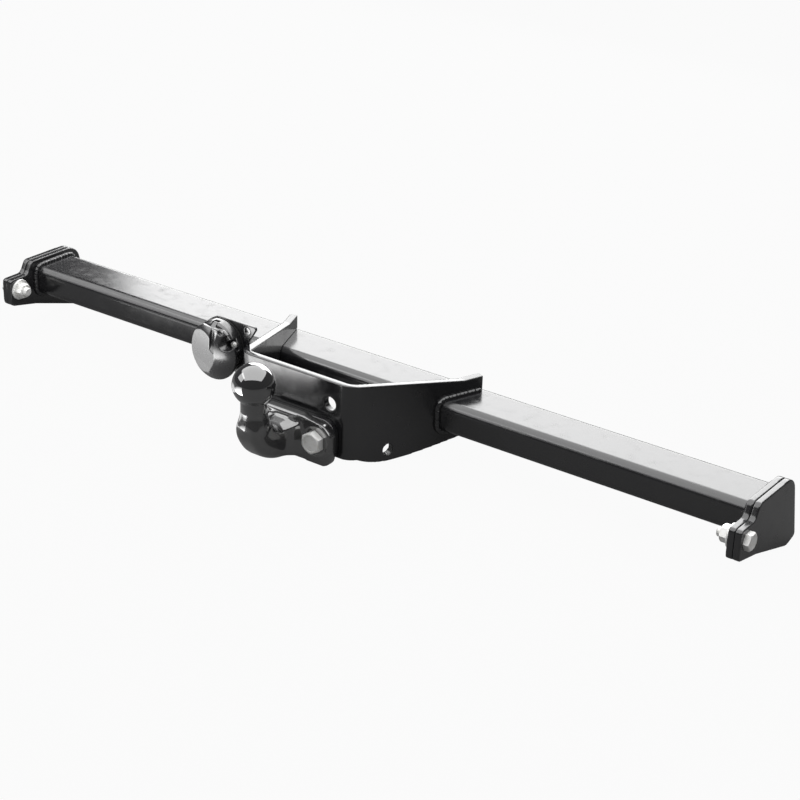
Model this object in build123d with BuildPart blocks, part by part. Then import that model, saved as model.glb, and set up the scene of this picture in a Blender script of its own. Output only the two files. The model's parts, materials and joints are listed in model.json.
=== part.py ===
from build123d import *
import os
from math import cos, radians, sin

os.makedirs("parts", exist_ok=True)

# Fixed flange-ball tow bar. Millimetres, +Z up, origin at the centre of the tow ball.
# +X runs along the cross beam and +Y points forward, to the vehicle.

# Cross beam and its ends
beam_left = -544.0
beam_right = 528.0
beam_front = 186.0
beam_depth = 70.0
beam_height = 40.0
beam_top = -52.0
beam_corner = 11.0
beam_wall = 5.0
end_plate_thick = 8.0
chassis_thick = 8.0
ear_front = 139.5
ear_top = -59.0
ear_bottom = -95.5
lobe_top = -42.5
lobe_heel = (286.5, -126.0)
lobe_toe = (266.0, -131.5)
bead = 5.0
end_bolt_y = 154.5
end_bolt_z = -74.7
end_bolt_radius = 6.0
end_hole_radius = 6.5
end_head_flats = 19.0
end_head_high = 7.5
end_nut_flats = 18.0
end_nut_high = 10.0
end_washer_radius = 14.0
end_washer_thick = 2.5
thread_past_nut = 5.0

# Centre bracket
front_face = 73.0
bracket_plate = 10.0
corner_half = 82.5
wing_splay = 20.5
wing_length = 186.0
bend_radius = 22.0
front_top = -7.0
front_bottom = -101.5
wing_top = -34.0
wing_fall_end = 223.0
front_hole_x = 51.5
front_hole_z = -35.8
front_hole_radius = 8.5
wing_hole_along = 52.3
wing_hole_z = -98.0
wing_hole_radius = 7.0

# Tow ball and its flange
ball_radius = 25.0
neck_radius = 14.5
neck_end = -39.0
elbow_radius = 17.5
elbow_top = -46.0
arm_half = 17.0
flange_front = 54.0
flange_thick = 11.0
flange_half = 67.5
flange_top = -52.0
flange_bottom = -107.3
flange_shoulder = (57.0, -56.5)
boss_half = 27.0
boss_front = 51.5
boss_top = -50.5
ball_bolt_x = 45.0
ball_bolt_z = -78.5
ball_bolt_radius = 8.0
ball_hole_radius = 8.75
ball_head_flats = 24.0
ball_head_high = 10.0
spot_radius = 18.0
forged_round = 9.0
root_start = 34.0
root_half = 26.0
root_high = 44.0
root_middle = -82.0
elbow_overlap = 12.0
spot_deep = 1.0
ball_washer_radius = 15.0
ball_washer_thick = 3.0
ball_nut_high = 13.0
spacer_inset = 2.0
spacer_corner = 18.0

# Socket and its plate
socket_x = -132.3
socket_z = -20.0
plate_front = 100.0
plate_thick = 4.0
drum_radius = 32.3
drum_front = 84.0
gasket_thick = 2.0
cavity_radius = 17.0
insert_front = 104.0
insert_back = 110.0
tube_radius = 21.0
tube_back = 118.0
boot_back = 138.0
screw_circle = 26.0
screw_start = 17.0
screw_radius = 2.5
screw_seat = 92.0
screw_hole_radius = 2.7
eye_x = -94.0
eye_z = 5.5
eye_radius = 4.2
lid_radius = 35.5
lid_x = socket_x + 1.2
lid_z = socket_z - 4.5
lid_back = 83.6
lid_rim_front = 80.0
lid_crown = 68.0
lid_dome = 58.5
lid_top = 7.3
badge_turn = 16.2
badge_dip = 6.3
badge_cut = 4.3
scoop_left = socket_x + 2.3
scoop_right = socket_x + 10.8
scoop_radius = 33.0
scoop_floor = 77.6
scoop_z = 0.0
port_x = socket_x + 15.3
port_z = 4.6
port_radius = 3.2
port_floor = 80.0
bite_x = socket_x + 26.5
bite_z = socket_z + 14.1
bite_radius = 8.2
bite_taper = -10.0
seal_inner = 18.2
seal_outer = 21.4
seal_front = 82.6
arm_front = 81.0
hinge_y = 87.5
hinge_z = socket_z + 28.7
hinge_pin_radius = 1.25
hinge_pin_half = 10.0
hinge_clearance = 0.05
knuckle_radius = 3.0
knuckle_half = 3.4
notch_half = 4.2
notch_back = 92.0
tube_bore = 15.0
drum_chamfer = 2.4
pocket_circle = screw_circle + 1.0
pocket_radius = 7.5
screw_head_radius = 4.2
screw_head_high = 3.2
screw_end = 110.0
screw_nut_flats = 8.0
screw_nut_high = 4.0
sleeve_radius = 1.9
sleeve_bore = 1.2
sleeve_front = 102.0
sleeve_back = 112.0
sleeve_rings = ((12.0, 8), (6.0, 4))
boot_front = 108.0
boot_step = 120.0
boot_waist = 127.0
boot_wall = 2.0
boot_waist_radius = 16.5
boot_neck = 9.0
boot_bore = 4.5

# Values worked out from them
beam_y = beam_front + beam_depth / 2
beam_z = beam_top - beam_height / 2
beam_back = beam_front + beam_depth
flange_back = flange_front + flange_thick
spot_face = flange_front + spot_deep
bracket_back = front_face + bracket_plate
drum_back = plate_front - gasket_thick
plate_back = plate_front + plate_thick
splay_sin = sin(radians(wing_splay))
splay_cos = cos(radians(wing_splay))
pair_thick = end_plate_thick + chassis_thick


# Cross beam: a closed rectangular tube
with BuildPart() as cross_beam:
    with BuildSketch(Plane.YZ.offset(beam_left)):
        with Locations((beam_y, beam_z)):
            RectangleRounded(beam_depth, beam_height, beam_corner)
            RectangleRounded(
                beam_depth - 2 * beam_wall,
                beam_height - 2 * beam_wall,
                beam_corner - beam_wall,
                mode=Mode.SUBTRACT,
            )
    extrude(amount=beam_right - beam_left)
cross_beam.part.label = "cross_beam"
export_step(cross_beam.part, "parts/cross_beam.step")


# Plate that closes a beam end: an ear in front, a rising step and a deep rear lobe
def side_plate(start_x, thick):
    outline = (
        ((ear_front, ear_bottom), 7.0),
        ((ear_front, ear_top), 5.0),
        ((171.0, ear_top), 8.0),
        ((180.0, lobe_top), 8.0),
        ((265.2, lobe_top - 1.0), 22.0),
        (lobe_heel, 5.0),
        (lobe_toe, 20.0),
        ((184.0, -105.3), 60.0),
    )
    corners = [corner for corner, radius in outline]
    radii = [radius for corner, radius in outline]
    with BuildPart() as plate:
        with BuildSketch(Plane.YZ.offset(start_x)):
            with BuildLine():
                FilletPolyline(*corners, radius=radii, close=True)
            make_face()
            with Locations((end_bolt_y, end_bolt_z)):
                Circle(end_hole_radius, mode=Mode.SUBTRACT)
        extrude(amount=thick)
    return plate.part


left_end_plate = side_plate(beam_left - end_plate_thick, end_plate_thick)
left_end_plate.label = "left_end_plate"
export_step(left_end_plate, "parts/left_end_plate.step")
right_end_plate = side_plate(beam_right, end_plate_thick)
right_end_plate.label = "right_end_plate"
export_step(right_end_plate, "parts/right_end_plate.step")
left_chassis_x = beam_left - pair_thick
left_chassis_bracket = side_plate(left_chassis_x, chassis_thick)
left_chassis_bracket.label = "left_chassis_bracket"
export_step(left_chassis_bracket, "parts/left_chassis_bracket.step")
right_chassis_x = beam_right + end_plate_thick
right_chassis_bracket = side_plate(right_chassis_x, chassis_thick)
right_chassis_bracket.label = "right_chassis_bracket"
export_step(right_chassis_bracket, "parts/right_chassis_bracket.step")


# Plane across a plate pair's bolt axis, facing out of the beam on that side
def end_axis(x, side):
    return Plane(origin=(x, end_bolt_y, end_bolt_z), x_dir=(0, 1, 0), z_dir=(side, 0, 0))


# End hardware: the head sits outside, the washer and the nut on the beam's side
outer_faces = ((left_chassis_x, -1), (right_chassis_x + chassis_thick, 1))
end_grip = pair_thick + end_washer_thick

with BuildPart() as end_bolts:
    for face_x, side in outer_faces:
        with BuildSketch(end_axis(face_x, side)):
            RegularPolygon(end_head_flats / 2, 6, major_radius=False)
        extrude(amount=end_head_high)
        with BuildSketch(end_axis(face_x, side)):
            Circle(end_bolt_radius)
        extrude(amount=-(end_grip + end_nut_high + thread_past_nut))
    round_edges = end_bolts.edges().filter_by(GeomType.CIRCLE)
    chamfer(round_edges.sort_by(lambda edge: abs(edge.center().X))[0:2], 1.0)
end_bolts.part.label = "end_bolts"
export_step(end_bolts.part, "parts/end_bolts.step")

with BuildPart() as end_washers:
    for face_x, side in outer_faces:
        with BuildSketch(end_axis(face_x - side * pair_thick, -side)):
            Circle(end_washer_radius)
            Circle(end_hole_radius, mode=Mode.SUBTRACT)
        extrude(amount=end_washer_thick)
end_washers.part.label = "end_washers"
export_step(end_washers.part, "parts/end_washers.step")

with BuildPart() as end_nuts:
    for face_x, side in outer_faces:
        with BuildSketch(end_axis(face_x - side * end_grip, -side)):
            RegularPolygon(end_nut_flats / 2, 6, major_radius=False)
            Circle(end_bolt_radius, mode=Mode.SUBTRACT)
        extrude(amount=end_nut_high)
end_nuts.part.label = "end_nuts"
export_step(end_nuts.part, "parts/end_nuts.step")


# Corner of the U and end of its right wing, on a line lying the inset inside the outer face
def wing_line(inset):
    corner = (corner_half - inset * (1 - splay_sin) / splay_cos, front_face + inset)
    tip_x = corner_half + wing_length * splay_sin - inset * splay_cos
    tip_y = front_face + wing_length * splay_cos + inset * splay_sin
    return corner, (tip_x, tip_y)


# The same point on the left wing
def mirrored(point):
    return (-point[0], point[1])


outer_corner, outer_tip = wing_line(0)
inner_corner, inner_tip = wing_line(bracket_plate)
bracket_base = -125.0

# Centre bracket: a thick plate bent to a U, its wings notched to sit over and under the beam
with BuildPart() as centre_bracket:
    with BuildSketch(Plane.XY.offset(bracket_base)):
        with BuildLine():
            FilletPolyline(
                mirrored(outer_tip),
                mirrored(outer_corner),
                outer_corner,
                outer_tip,
                radius=bend_radius,
            )
            Line(outer_tip, inner_tip)
            FilletPolyline(
                inner_tip,
                inner_corner,
                mirrored(inner_corner),
                mirrored(inner_tip),
                radius=bend_radius - bracket_plate,
            )
            Line(mirrored(inner_tip), mirrored(outer_tip))
        make_face()
    extrude(amount=-bracket_base)
    with BuildSketch(Plane.YZ):
        near = front_face - 5
        far = outer_tip[1] + 8
        fall_start = (front_face + bracket_plate / 2, front_top)
        fall_end = (wing_fall_end, wing_top)
        belly_start = (bracket_back, front_bottom)
        belly_end = (far, -102.0)
        with BuildLine():
            Line((near, front_bottom), (near, front_top))
            Line((near, front_top), fall_start)
            Line(fall_start, fall_end)
            Line(fall_end, (far, wing_top))
            Line((far, wing_top), belly_end)
            Spline(belly_end, (205.0, -107.6), (150.0, -112.5), (112.0, -111.5), belly_start)
            Line(belly_start, (near, front_bottom))
        make_face()
    extrude(amount=200, both=True, mode=Mode.INTERSECT)
    with BuildSketch(Plane.YZ):
        with Locations((beam_y, beam_z)):
            RectangleRounded(beam_depth, beam_height, beam_corner)
        with Locations((beam_back, beam_z)):
            Rectangle(beam_depth, beam_height)
    extrude(amount=200, both=True, mode=Mode.SUBTRACT)
    with BuildSketch(Plane.XZ.offset(-bracket_back)):
        with Locations((-front_hole_x, front_hole_z), (front_hole_x, front_hole_z)):
            Circle(front_hole_radius)
        with Locations((-ball_bolt_x, ball_bolt_z), (ball_bolt_x, ball_bolt_z)):
            Circle(ball_hole_radius)
    extrude(amount=bracket_plate, mode=Mode.SUBTRACT)
    for side in (-1, 1):
        hole_x = side * (corner_half + wing_hole_along * splay_sin)
        hole_y = front_face + wing_hole_along * splay_cos
        outward = (side * splay_cos, -splay_sin, 0)
        with BuildSketch(Plane(origin=(hole_x, hole_y, wing_hole_z), x_dir=(0, 0, 1), z_dir=outward)):
            Circle(wing_hole_radius)
        extrude(amount=2 * bracket_plate, both=True, mode=Mode.SUBTRACT)
centre_bracket.part.label = "centre_bracket"
export_step(centre_bracket.part, "parts/centre_bracket.step")


# Spacer plate between the flange and the bracket
spacer_wide = 2 * (flange_half - spacer_inset)
spacer_tall = flange_top - flange_bottom - 2 * spacer_inset
with BuildPart() as spacer_plate:
    with BuildSketch(Plane.XZ.offset(-front_face)):
        with Locations((0, (flange_top + flange_bottom) / 2)):
            RectangleRounded(spacer_wide, spacer_tall, spacer_corner)
        with Locations((-ball_bolt_x, ball_bolt_z), (ball_bolt_x, ball_bolt_z)):
            Circle(ball_hole_radius, mode=Mode.SUBTRACT)
    extrude(amount=front_face - flange_back)
spacer_plate.part.label = "spacer_plate"
export_step(spacer_plate.part, "parts/spacer_plate.step")


# Tow ball: one forging of ball, neck, elbow, arm and two-bolt flange
arm_end = flange_front + 4
with BuildPart() as tow_ball:
    with BuildSketch(Plane.YZ):
        nape = (elbow_radius, elbow_top)
        brow = (-elbow_radius, elbow_top)
        chin = (-elbow_radius, -56.0)
        arm_low = (arm_end, -104.5)
        arm_high = (arm_end, -57.0)
        arm_waist = (34.0, -62.0)
        with BuildLine():
            Line(nape, brow)
            Line(brow, chin)
            Spline(chin, (-12.5, -71.5), (0.0, -87.5), (20.0, -98.5), arm_low, tangents=((0, -1), (1, -0.1)))
            Line(arm_low, arm_high)
            Line(arm_high, arm_waist)
            Spline(arm_waist, nape, tangents=((-1, 0.05), (-0.15, 1)))
        make_face()
    extrude(amount=arm_half, both=True)
    flanks = tow_ball.faces().filter_by(Axis.X)
    fillet(flanks.edges().filter_by(lambda edge: edge.center().Y < arm_end - 2), forged_round)
    with BuildSketch(Plane.XY.offset(elbow_top - elbow_overlap)):
        Circle(elbow_radius)
    with BuildSketch(Plane.XY.offset(neck_end)):
        Circle(neck_radius)
    loft()
    with BuildSketch(Plane.XY.offset(neck_end)):
        Circle(neck_radius)
    extrude(amount=-neck_end)
    Sphere(ball_radius)
    with BuildSketch(Plane.XZ.offset(-flange_back)):
        with BuildLine():
            FilletPolyline(
                (-boss_half, flange_top),
                (boss_half, flange_top),
                flange_shoulder,
                (flange_half, flange_shoulder[1] - 10),
                (flange_half, flange_bottom),
                (-flange_half, flange_bottom),
                (-flange_half, flange_shoulder[1] - 10),
                mirrored(flange_shoulder),
                radius=(6.0, 6.0, 6.0, 8.0, 12.0, 12.0, 8.0, 6.0),
                close=True,
            )
        make_face()
    extrude(amount=flange_thick)
    with BuildSketch(Plane.XZ.offset(-flange_back)):
        with BuildLine():
            Polyline(
                (-boss_half, boss_top),
                (boss_half, boss_top),
                (boss_half, boss_top - 4),
                (4.0, -69.0),
                (-4.0, -69.0),
                (-boss_half, boss_top - 4),
                close=True,
            )
        make_face()
    extrude(amount=flange_back - boss_front)
    with BuildSketch(Plane.XZ.offset(-flange_front)):
        with Locations((0, root_middle)):
            Rectangle(2 * root_half, root_high)
    with BuildSketch(Plane.XZ.offset(-root_start)):
        with Locations((0, root_middle)):
            Rectangle(2 * arm_half - 2, root_high - 10)
    loft()
    for bolt_x in (-ball_bolt_x, ball_bolt_x):
        with BuildSketch(Plane.XZ.offset(-spot_face)):
            with Locations((bolt_x, ball_bolt_z)):
                Circle(spot_radius)
        extrude(amount=20, mode=Mode.SUBTRACT)
        with BuildSketch(Plane.XZ.offset(-flange_back)):
            with Locations((bolt_x, ball_bolt_z)):
                Circle(ball_hole_radius)
        extrude(amount=flange_thick, mode=Mode.SUBTRACT)
tow_ball.part.label = "tow_ball"
export_step(tow_ball.part, "parts/tow_ball.step")


# Ball hardware: heads in front, washers and nuts behind the centre bracket
ball_shank_end = bracket_back + ball_washer_thick + ball_nut_high + thread_past_nut
with BuildPart() as ball_bolts:
    with BuildSketch(Plane.XZ.offset(-spot_face)):
        with Locations((-ball_bolt_x, ball_bolt_z), (ball_bolt_x, ball_bolt_z)):
            RegularPolygon(ball_head_flats / 2, 6, major_radius=False, rotation=90)
    extrude(amount=ball_head_high)
    with BuildSketch(Plane.XZ.offset(-ball_shank_end)):
        with Locations((-ball_bolt_x, ball_bolt_z), (ball_bolt_x, ball_bolt_z)):
            Circle(ball_bolt_radius)
    extrude(amount=ball_shank_end - spot_face)
    chamfer(ball_bolts.faces().sort_by(Axis.Y)[-2:].edges(), 1.2)
ball_bolts.part.label = "ball_bolts"
export_step(ball_bolts.part, "parts/ball_bolts.step")

with BuildPart() as ball_washers:
    with BuildSketch(Plane.XZ.offset(-bracket_back - ball_washer_thick)):
        with Locations((-ball_bolt_x, ball_bolt_z), (ball_bolt_x, ball_bolt_z)):
            Circle(ball_washer_radius)
            Circle(ball_hole_radius, mode=Mode.SUBTRACT)
    extrude(amount=ball_washer_thick)
ball_washers.part.label = "ball_washers"
export_step(ball_washers.part, "parts/ball_washers.step")

with BuildPart() as ball_nuts:
    with BuildSketch(Plane.XZ.offset(-bracket_back - ball_washer_thick - ball_nut_high)):
        with Locations((-ball_bolt_x, ball_bolt_z), (ball_bolt_x, ball_bolt_z)):
            RegularPolygon(ball_head_flats / 2, 6, major_radius=False, rotation=90)
            Circle(ball_bolt_radius, mode=Mode.SUBTRACT)
    extrude(amount=ball_nut_high)
ball_nuts.part.label = "ball_nuts"
export_step(ball_nuts.part, "parts/ball_nuts.step")


# Weld beads round each beam end, in the corner between tube and plate
with BuildPart() as end_welds:
    for start_x, side in ((beam_left, 1), (beam_right, -1)):
        with BuildSketch(Plane.YZ.offset(start_x)):
            with Locations((beam_y, beam_z)):
                RectangleRounded(beam_depth + 2 * bead, beam_height + 2 * bead, beam_corner + bead)
        with BuildSketch(Plane.YZ.offset(start_x + side * bead)):
            with Locations((beam_y, beam_z)):
                RectangleRounded(beam_depth + 0.8, beam_height + 0.8, beam_corner + 0.4)
        loft()
    with BuildSketch(Plane.YZ.offset(beam_left)):
        with Locations((beam_y, beam_z)):
            RectangleRounded(beam_depth, beam_height, beam_corner)
    extrude(amount=beam_right - beam_left, mode=Mode.SUBTRACT)
end_welds.part.label = "end_welds"
export_step(end_welds.part, "parts/end_welds.step")


# Socket plate: a drop-shaped plate with an eye, its edge against the left wing
wing_touch_x = -(corner_half + (plate_back - front_face) * splay_sin / splay_cos)
plate_round = drum_radius + 1.0
with BuildPart() as socket_plate:
    with BuildSketch(Plane.XZ.offset(-plate_back)) as plate_outline:
        with BuildLine():
            crown = (socket_x, socket_z + plate_round)
            keel = (socket_x, socket_z - plate_round)
            eye_tip = (-79.0, socket_z + plate_round)
            eye_back = (-86.0, 2.0)
            wing_edge = (wing_touch_x, -12.0)
            RadiusArc(keel, crown, plate_round)
            Line(crown, eye_tip)
            Line(eye_tip, eye_back)
            Line(eye_back, wing_edge)
            Line(wing_edge, (wing_touch_x, keel[1]))
            Line((wing_touch_x, keel[1]), keel)
        make_face()
        fillet(plate_outline.vertices().sort_by(Axis.X)[-1], 3)
        with Locations((eye_x, eye_z)):
            Circle(eye_radius, mode=Mode.SUBTRACT)
        with Locations((socket_x, socket_z)):
            Circle(tube_radius + 0.5, mode=Mode.SUBTRACT)
            with PolarLocations(screw_circle, 3, start_angle=screw_start):
                Circle(screw_hole_radius, mode=Mode.SUBTRACT)
    extrude(amount=plate_thick)
socket_plate.part.label = "socket_plate"
export_step(socket_plate.part, "parts/socket_plate.step")

with BuildPart() as socket_gasket:
    with BuildSketch(Plane.XZ.offset(-plate_front)):
        with Locations((socket_x, socket_z)):
            Circle(plate_round - 0.3)
            Circle(tube_radius, mode=Mode.SUBTRACT)
            with PolarLocations(screw_circle, 3, start_angle=screw_start):
                Circle(screw_hole_radius, mode=Mode.SUBTRACT)
    extrude(amount=gasket_thick)
socket_gasket.part.label = "socket_gasket"
export_step(socket_gasket.part, "parts/socket_gasket.step")


# Weld beads of the centre bracket: over and under the beam and up its front, outside each wing
meet_along = (beam_front - front_face) / splay_cos
bead_start = meet_along + 7.0
bead_length = wing_length - bead_start - 3.0
wing_dir = (splay_sin, splay_cos, 0)
wing_out = (splay_cos, -splay_sin, 0)
meet_x = corner_half + meet_along * splay_sin
with BuildPart() as bracket_welds:
    for level, rise in ((beam_top, -1), (beam_top - beam_height, 1)):
        start_x = corner_half + bead_start * splay_sin
        start_y = front_face + bead_start * splay_cos
        with BuildSketch(Plane(origin=(start_x, start_y, level), x_dir=wing_out, z_dir=wing_dir)):
            with BuildLine():
                Line((0, 0), (bead, 0))
                ThreePointArc((bead, 0), (0.6 * bead, 0.6 * rise * bead), (0, rise * bead))
                Line((0, rise * bead), (0, 0))
            make_face()
        extrude(amount=bead_length)
    with BuildSketch(Plane.XY.offset(beam_z - beam_height / 2 + beam_corner - 4)):
        wing_point = (meet_x - bead * splay_sin, beam_front - bead * splay_cos)
        with BuildLine():
            Line((meet_x, beam_front), (meet_x + bead, beam_front))
            ThreePointArc((meet_x + bead, beam_front), (meet_x + 1.6, beam_front - 3.4), wing_point)
            Line(wing_point, (meet_x, beam_front))
        make_face()
    extrude(amount=beam_height - 2 * beam_corner + 8)
    mirror(about=Plane.YZ)
bracket_welds.part.label = "bracket_welds"
export_step(bracket_welds.part, "parts/bracket_welds.step")

with BuildPart() as plate_weld:
    touch_front = -(corner_half + (plate_front - front_face) * splay_sin / splay_cos)
    touch_near = touch_front + bead * splay_sin / splay_cos
    with BuildSketch(Plane.XY.offset(socket_z - drum_radius + 4)):
        with BuildLine():
            Polyline(
                (touch_front, plate_front),
                (touch_front - bead, plate_front),
                (touch_near, plate_front - bead),
                close=True,
            )
        make_face()
    extrude(amount=drum_radius - 2)
plate_weld.part.label = "plate_weld"
export_step(plate_weld.part, "parts/plate_weld.step")


# Socket housing: a drum with a plug cavity, three screw pockets open at the rim and a hinge notch
notch_floor = hinge_z - knuckle_radius - 1
with BuildPart() as socket_housing:
    with BuildSketch(Plane.XZ.offset(-drum_back)):
        with Locations((socket_x, socket_z)):
            Circle(drum_radius)
    extrude(amount=drum_back - drum_front)
    chamfer(socket_housing.edges().filter_by(GeomType.CIRCLE).sort_by(Axis.Y)[0], drum_chamfer)
    with BuildSketch(Plane.XZ.offset(-tube_back)):
        with Locations((socket_x, socket_z)):
            Circle(tube_radius)
    extrude(amount=tube_back - drum_back)
    with BuildSketch(Plane.XZ.offset(-insert_back)):
        with Locations((socket_x, socket_z)):
            Circle(cavity_radius)
    extrude(amount=insert_back - drum_front, mode=Mode.SUBTRACT)
    with BuildSketch(Plane.XZ.offset(-tube_back)):
        with Locations((socket_x, socket_z)):
            Circle(tube_bore)
    extrude(amount=tube_back - insert_back, mode=Mode.SUBTRACT)
    with BuildSketch(Plane.XZ.offset(-screw_seat)):
        with Locations((socket_x, socket_z)):
            with PolarLocations(pocket_circle, 3, start_angle=screw_start):
                Circle(pocket_radius)
                with Locations((pocket_radius, 0)):
                    Rectangle(2 * pocket_radius, 2 * pocket_radius)
    extrude(amount=screw_seat - drum_front, mode=Mode.SUBTRACT)
    with BuildSketch(Plane.XZ.offset(-drum_back)):
        with Locations((socket_x, socket_z)):
            with PolarLocations(screw_circle, 3, start_angle=screw_start):
                Circle(screw_hole_radius)
    extrude(amount=drum_back - drum_front, mode=Mode.SUBTRACT)
    with BuildSketch(Plane.XZ.offset(-notch_back)):
        with Locations((socket_x, notch_floor + 10)):
            Rectangle(2 * notch_half, 20)
    extrude(amount=notch_back - drum_front, mode=Mode.SUBTRACT)
    with BuildSketch(Plane.YZ.offset(socket_x - hinge_pin_half)):
        with Locations((hinge_y, hinge_z)):
            Circle(hinge_pin_radius)
    extrude(amount=2 * hinge_pin_half, mode=Mode.SUBTRACT)
socket_housing.part.label = "socket_housing"
export_step(socket_housing.part, "parts/socket_housing.step")

with BuildPart() as hinge_pin:
    with BuildSketch(Plane.YZ.offset(socket_x - hinge_pin_half)):
        with Locations((hinge_y, hinge_z)):
            Circle(hinge_pin_radius)
    extrude(amount=2 * hinge_pin_half)
hinge_pin.part.label = "hinge_pin"
export_step(hinge_pin.part, "parts/hinge_pin.step")


# Contact insert: a disc with thirteen brass sleeves, one in the middle and two rings round it
with BuildPart() as contact_insert:
    with BuildSketch(Plane.XZ.offset(-insert_back)):
        with Locations((socket_x, socket_z)):
            Circle(cavity_radius)
            Circle(sleeve_radius, mode=Mode.SUBTRACT)
            for ring_radius, count in sleeve_rings:
                with PolarLocations(ring_radius, count):
                    Circle(sleeve_radius, mode=Mode.SUBTRACT)
    extrude(amount=insert_back - insert_front)
contact_insert.part.label = "contact_insert"
export_step(contact_insert.part, "parts/contact_insert.step")

with BuildPart() as contact_sleeves:
    with BuildSketch(Plane.XZ.offset(-sleeve_back)):
        with Locations((socket_x, socket_z)):
            Circle(sleeve_radius)
            Circle(sleeve_bore, mode=Mode.SUBTRACT)
            for ring_radius, count in sleeve_rings:
                with PolarLocations(ring_radius, count):
                    Circle(sleeve_radius)
                    Circle(sleeve_bore, mode=Mode.SUBTRACT)
    extrude(amount=sleeve_back - sleeve_front)
contact_sleeves.part.label = "contact_sleeves"
export_step(contact_sleeves.part, "parts/contact_sleeves.step")


# Socket lid: a dome with a flat round badge, a finger scoop, a small port, a bite that clears one
# screw, and a hinge arm
badge_out = Vector(
    -sin(radians(badge_turn)) * cos(radians(badge_dip)),
    -cos(radians(badge_turn)) * cos(radians(badge_dip)),
    -sin(radians(badge_dip)),
)
badge_middle = Vector(lid_x, lid_crown + lid_dome, lid_z) + badge_out * (lid_dome - badge_cut)
with BuildPart() as socket_lid:
    with BuildSketch(Plane.XY.offset(lid_z)):
        with BuildLine():
            Line((lid_x, lid_crown), (lid_x, lid_back))
            Line((lid_x, lid_back), (lid_x + lid_radius, lid_back))
            Line((lid_x + lid_radius, lid_back), (lid_x + lid_radius, lid_rim_front))
            TangentArc((lid_x, lid_crown), (lid_x + lid_radius, lid_rim_front), tangent=(1, 0))
        make_face()
    revolve(axis=Axis((lid_x, 0, lid_z), (0, 1, 0)))
    with BuildSketch(Plane(origin=badge_middle, z_dir=badge_out)):
        Circle(lid_radius)
    extrude(amount=lid_radius, mode=Mode.SUBTRACT)
    with BuildSketch(Plane.XZ.offset(-lid_back)):
        with Locations((socket_x, lid_top + 10)):
            Rectangle(2 * lid_radius, 20)
    extrude(amount=lid_back - lid_crown, mode=Mode.SUBTRACT)
    with BuildSketch(Plane.XZ.offset(-lid_back)):
        with Locations((bite_x, bite_z)):
            Circle(bite_radius)
    extrude(amount=lid_back - lid_crown, taper=bite_taper, mode=Mode.SUBTRACT)
    with BuildSketch(Plane.YZ.offset(scoop_left)):
        with Locations((scoop_floor - scoop_radius, scoop_z)):
            Circle(scoop_radius)
    extrude(amount=scoop_right - scoop_left, mode=Mode.SUBTRACT)
    with BuildSketch(Plane.XZ.offset(-port_floor)):
        with Locations((port_x, port_z)):
            Circle(port_radius)
    extrude(amount=port_floor - lid_crown, mode=Mode.SUBTRACT)
    with BuildSketch(Plane.XZ.offset(-lid_back)):
        with Locations((socket_x, socket_z)):
            Circle(cavity_radius - 0.5)
    extrude(amount=2.0, mode=Mode.SUBTRACT)
    with BuildSketch(Plane.XZ.offset(-lid_back)):
        with Locations((socket_x, socket_z)):
            Circle(seal_outer)
            Circle(seal_inner, mode=Mode.SUBTRACT)
    extrude(amount=lid_back - seal_front, mode=Mode.SUBTRACT)
    with BuildSketch(Plane.YZ.offset(socket_x - knuckle_half)):
        with BuildLine():
            knuckle_low = (hinge_y, hinge_z - knuckle_radius)
            knuckle_high = (hinge_y, hinge_z + knuckle_radius)
            Polyline(knuckle_high, (arm_front, lid_top), (arm_front, knuckle_low[1]), knuckle_low)
            ThreePointArc(knuckle_low, (hinge_y + knuckle_radius, hinge_z), knuckle_high)
        make_face()
    extrude(amount=2 * knuckle_half)
    with BuildSketch(Plane.YZ.offset(socket_x - knuckle_half)):
        with Locations((hinge_y, hinge_z)):
            Circle(hinge_pin_radius + hinge_clearance)
    extrude(amount=2 * knuckle_half, mode=Mode.SUBTRACT)
socket_lid.part.label = "socket_lid"
export_step(socket_lid.part, "parts/socket_lid.step")

with BuildPart() as lid_seal:
    with BuildSketch(Plane.XZ.offset(-lid_back)):
        with Locations((socket_x, socket_z)):
            Circle(seal_outer)
            Circle(seal_inner, mode=Mode.SUBTRACT)
    extrude(amount=lid_back - seal_front)
lid_seal.part.label = "lid_seal"
export_step(lid_seal.part, "parts/lid_seal.step")


# Socket screws and nuts, and the boot that takes the cable on the back
with BuildPart() as socket_screws:
    with BuildSketch(Plane.XZ.offset(-screw_seat)):
        with Locations((socket_x, socket_z)):
            with PolarLocations(screw_circle, 3, start_angle=screw_start):
                Circle(screw_head_radius)
    extrude(amount=screw_head_high)
    with BuildSketch(Plane.XZ.offset(-screw_end)):
        with Locations((socket_x, socket_z)):
            with PolarLocations(screw_circle, 3, start_angle=screw_start):
                Circle(screw_radius)
    extrude(amount=screw_end - screw_seat)
socket_screws.part.label = "socket_screws"
export_step(socket_screws.part, "parts/socket_screws.step")

with BuildPart() as socket_nuts:
    with BuildSketch(Plane.XZ.offset(-plate_back - screw_nut_high)):
        with Locations((socket_x, socket_z)):
            with PolarLocations(screw_circle, 3, start_angle=screw_start):
                RegularPolygon(screw_nut_flats / 2, 6, major_radius=False)
                Circle(screw_radius, mode=Mode.SUBTRACT)
    extrude(amount=screw_nut_high)
socket_nuts.part.label = "socket_nuts"
export_step(socket_nuts.part, "parts/socket_nuts.step")

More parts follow.
